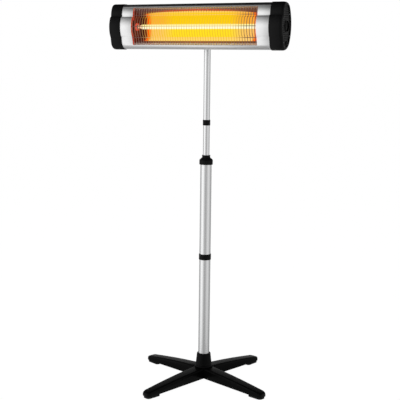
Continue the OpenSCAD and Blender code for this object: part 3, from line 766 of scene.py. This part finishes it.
# %% [markdown]
# ## The walls of the room
# Brushed metal looks like whatever is around it, so the room matters as much as the finish. Panels
# could be modelled for it, but a rule for brightness by direction takes only a few nodes. The room has
# three soft bright walls: the strongest on the left of the view, a weaker one on its right, and a faint
# one beyond the heater. The first two draw the two bands on every round tube. The walls are placed by
# the camera's turn, as a studio's lights are, and stay there when the heater is seen from another side.

# %% Brightness by direction
camera_turn = math.radians(25.86)
room_level = 0.36
wall_spread = 4.0
walls = [(-66, 0.88), (58, 0.48), (180, 0.2)]  # degrees to the right of the camera, brightness


def wall(wire, sideways, degrees, strength):
    """One soft bright wall, so many degrees round the heater from the camera, to the right in its view."""
    turn = camera_turn + math.radians(degrees)
    centre = (math.sin(turn), -math.cos(turn), 0.0)
    facing = wire.vectors("DOT_PRODUCT", {0: sideways, 1: centre}, NUMBER)
    return facing.clamped().power(wall_spread) * strength


def walls_round(wire, place):
    """Brightness of the room at eye level in the direction of a place seen from the pole."""
    level = wire.vectors("MULTIPLY", {0: place, 1: (1.0, 1.0, 0.0)})
    sideways = wire.vectors("NORMALIZE", {0: level})
    brightness = room_level
    for degrees, strength in walls:
        brightness = brightness + wall(wire, sideways, degrees, strength)
    return brightness


print("walls at", [degrees for degrees, _ in walls], "degrees from the camera")

# %% [markdown]
# ## The room that the metal reflects
# The walls are brightest at eye level and fade to a dim ceiling, as in a room with low lights. The
# camera itself sees a plain white background, by a Light Path switch in the world.

# %% The world
eye_level_up = [(0.0, 0.97), (0.2, 0.85), (0.37, 0.58), (0.52, 0.32), (0.66, 0.16), (0.77, 0.09), (1.0, 0.05)]
white = (1.0, 1.0, 1.0)

world = bpy.data.worlds.new("studio")
bpy.context.scene.world = world
world.use_nodes = True
sky = Wire(world.node_tree)
direction = sky.node("ShaderNodeTexCoord", output="Generated")
upwards = sky.node("ShaderNodeSeparateXYZ", None, {"Vector": direction}, "Z")
fall_off = sky.ramp(upwards, [(z, (level, level, level)) for z, level in eye_level_up])
room = sky.vectors("MULTIPLY", {0: fall_off, 1: walls_round(sky, direction)})
seen_by_camera = sky.node("ShaderNodeLightPath", output="Is Camera Ray")
feed(sky.tree, sky.tree.nodes["Background"].inputs["Color"], sky.blend(seen_by_camera, room, white))
print("room brightness from eye level up:", eye_level_up)

# %% [markdown]
# ## The stage
# The heater stands on a pale floor. The metal reflects it, so it glows with painted light of the
# room's own brightness, and painted shade makes it darker close to the heater. The camera sees it as
# white, as it does the background, by a Light Path switch, so practically no shadow shows.

# %% Floor
floor_shine = 0.92
painted_shade_depth, painted_shade_fade = 0.5, -2.2
painted_glow_share = 0.9

bpy.ops.object.select_all(action="DESELECT")
bpy.ops.mesh.primitive_plane_add(size=60, location=(0, 0, 0))
floor = bpy.context.object
floor.name = "studio_floor"
paint = Finish("pale floor", roughness=0.9, base_color=(0.5, 0.5, 0.5))
away = paint.vectors("LENGTH", {0: paint.place}, NUMBER)
# Painted light of the room's brightness, with painted shade that darkens the floor close to the heater.
brightness = (1.0 - painted_shade_depth * (away + 1.0).power(painted_shade_fade)) * walls_round(paint, paint.place) * floor_shine
painted_floor_light = paint.node("ShaderNodeEmission", None, {"Color": white, "Strength": brightness})
plain_white = paint.node("ShaderNodeEmission", None, {"Color": white, "Strength": 1.1})
seen_by_camera = paint.node("ShaderNodeLightPath", output="Is Camera Ray")
glow = paint.node("ShaderNodeMixShader", None, {"Fac": seen_by_camera, 1: painted_floor_light, 2: plain_white})
lit = Wire(paint.tree, paint.shader.outputs[0])
# Most of the floor's surface is the painted glow, and a little is lit by the lights.
surface = paint.node("ShaderNodeMixShader", None, {"Fac": painted_glow_share, 1: lit, 2: glow})
feed(paint.tree, paint.tree.nodes["Material Output"].inputs["Surface"], surface)
set_finish(floor, paint.material)
print("floor:", floor.dimensions.x, "m across")

# %% [markdown]
# ## Light
# One large soft box above and in front of the heater adds a little light to the black parts. It is
# hidden from reflections, so that the metal reflects only the room.

# %% Soft box
box_place = Vector((-0.6, -2.6, 3.2))
box_target = Vector((0, 0, 0.6))

bpy.ops.object.select_all(action="DESELECT")
bpy.ops.object.light_add(type="AREA", location=box_place)
soft_box = bpy.context.object
soft_box.name = "front box"
soft_box.data.shape = "RECTANGLE"
soft_box.data.size, soft_box.data.size_y = 2.2, 1.6
soft_box.data.energy = 60
soft_box.visible_glossy = False
soft_box.rotation_euler = (box_target - box_place).to_track_quat("-Z", "Y").to_euler()
print("soft box:", soft_box.data.energy, "W")

# %% [markdown]
# ## Camera
# The camera stands in front and to the right of the head, a little lower than it, so that the right
# end face shows, and is tilted down far enough to take in the feet.

# %% Camera
camera_pitch = math.radians(-8.74)
camera_roll = math.radians(0.65)
camera_distance = 3.0543
camera_shift = -0.0189
camera_height = 1.0975

bpy.ops.object.select_all(action="DESELECT")
bpy.ops.object.camera_add()
camera = bpy.context.object
side = Vector((math.cos(camera_turn), math.sin(camera_turn), 0))
back = Vector((math.sin(camera_turn), -math.cos(camera_turn), 0))
turn = Matrix.Rotation(camera_turn, 4, "Z")
tilt = Matrix.Rotation(math.pi / 2 + camera_pitch, 4, "X")
roll = Matrix.Rotation(camera_roll, 4, "Z")
place = back * camera_distance + side * camera_shift + Vector((0, 0, camera_height))
camera.matrix_world = Matrix.Translation(place) @ turn @ tilt @ roll
camera.data.sensor_width = 36
camera.data.lens = 82.5
bpy.context.scene.camera = camera
bpy.context.scene.view_settings.view_transform = "Standard"
print("camera at", tuple(round(c, 3) for c in place))
